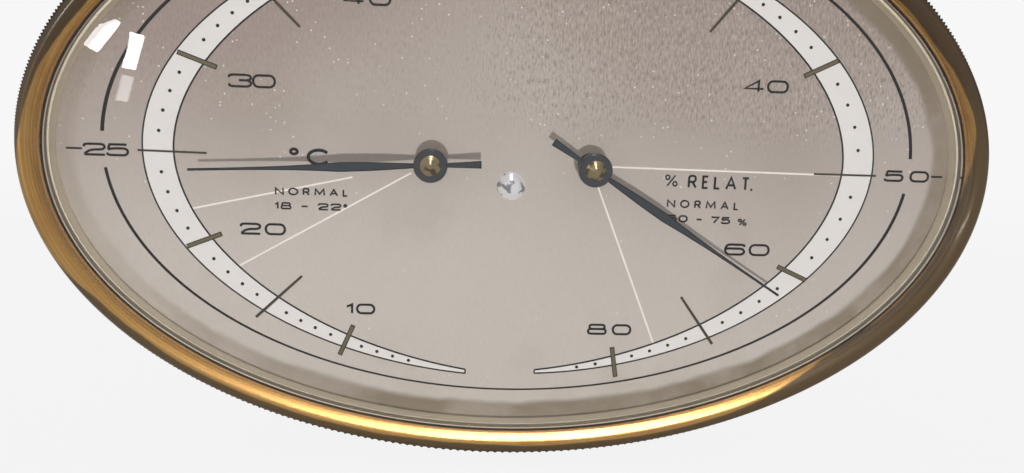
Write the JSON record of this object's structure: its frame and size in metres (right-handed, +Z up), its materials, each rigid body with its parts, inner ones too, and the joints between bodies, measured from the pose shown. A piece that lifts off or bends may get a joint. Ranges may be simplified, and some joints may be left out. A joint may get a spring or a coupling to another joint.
{
  "type": "thermo-hygrometer",
  "caption": "Oval desk thermo-hygrometer with a rolled brass bezel, domed crystal, twin pointers on a silvered dial and a folding rear strut.",
  "frame": {"origin": "on the table, under the middle of the part's box", "axes": "+X to the reader's right along the oval's length, +Y to the back, +Z up; the dial faces -Y"},
  "size_m": [0.162, 0.0642, 0.1034],
  "materials": {
    "bezel_brass": "polished, lightly tarnished",
    "milled_brass": "dark in the milling",
    "crystal": "clear, glossy",
    "gasket": "matt",
    "case_brass": "satin lacquered",
    "dial": "silvered, fine vertical grain",
    "screw_chrome": "polished",
    "bridge_brass": "satin",
    "spindle_brass": "turned",
    "hub_dark": "blackened",
    "pointer_blued": "blued",
    "bimetal": "rolled strip",
    "moisture_strip": "paper-faced strip",
    "steel": "plated",
    "strut_brass": "satin lacquered",
    "foot_rubber": "matt"
  },
  "bodies": {
    "root": {"bezel_ring": "bezel_brass", "milled_ring": "milled_brass", "crystal": "crystal", "crystal_gasket": "gasket", "spacer_ring": "case_brass", "dial_plate": "dial", "dial_screw": "screw_chrome", "bridge": "bridge_brass", "bridge_nut": "bridge_brass", "thermometer_bush": "bridge_brass", "hygrometer_bush": "bridge_brass", "case_shell": "case_brass", "back_cover": "case_brass", "back_screws": "bridge_brass", "strut_bracket": "strut_brass", "bracket_rivets": "bridge_brass", "strut_pin": "steel"},
    "thermometer_lever": {"thermometer_coil": "bimetal", "thermometer_adjuster": "steel", "thermometer_post": "bridge_brass"},
    "thermometer_needle": {"thermometer_spindle": "spindle_brass", "thermometer_hub": "hub_dark", "thermometer_pointer": "pointer_blued"},
    "hygrometer_lever": {"hygrometer_coil": "moisture_strip", "hygrometer_adjuster": "steel", "hygrometer_post": "bridge_brass"},
    "hygrometer_needle": {"hygrometer_spindle": "spindle_brass", "hygrometer_hub": "hub_dark", "hygrometer_pointer": "pointer_blued"},
    "leg": {"strut": "strut_brass", "strut_foot": "foot_rubber"}
  },
  "joints": [
    {"name": "thermometer_adjust", "type": "hinge", "parent": "root", "child": "thermometer_lever", "pos_m": [-0.01333, -0.01913, 0.0513], "axis": [0, 1, 0], "range_deg": [-12, 12]},
    {"name": "thermometer_turn", "type": "hinge", "parent": "thermometer_lever", "child": "thermometer_needle", "pos_m": [-0.01333, -0.01913, 0.0513], "axis": [0, 1, 0], "range_deg": [-98.8, 104], "stiffness_Nm_per_rad": 0.002},
    {"name": "hygrometer_adjust", "type": "hinge", "parent": "root", "child": "hygrometer_lever", "pos_m": [0.01333, -0.01913, 0.0513], "axis": [0, 1, 0], "range_deg": [-12, 12]},
    {"name": "hygrometer_turn", "type": "hinge", "parent": "hygrometer_lever", "child": "hygrometer_needle", "pos_m": [0.01333, -0.01913, 0.0513], "axis": [0, 1, 0], "range_deg": [-135.7, 71.1], "stiffness_Nm_per_rad": 0.002},
    {"name": "strut_fold", "type": "hinge", "parent": "root", "child": "leg", "pos_m": [0, 0.00427, 0.0657], "axis": [1, 0, 0], "range_deg": [-23.4, 0]}
  ]
}
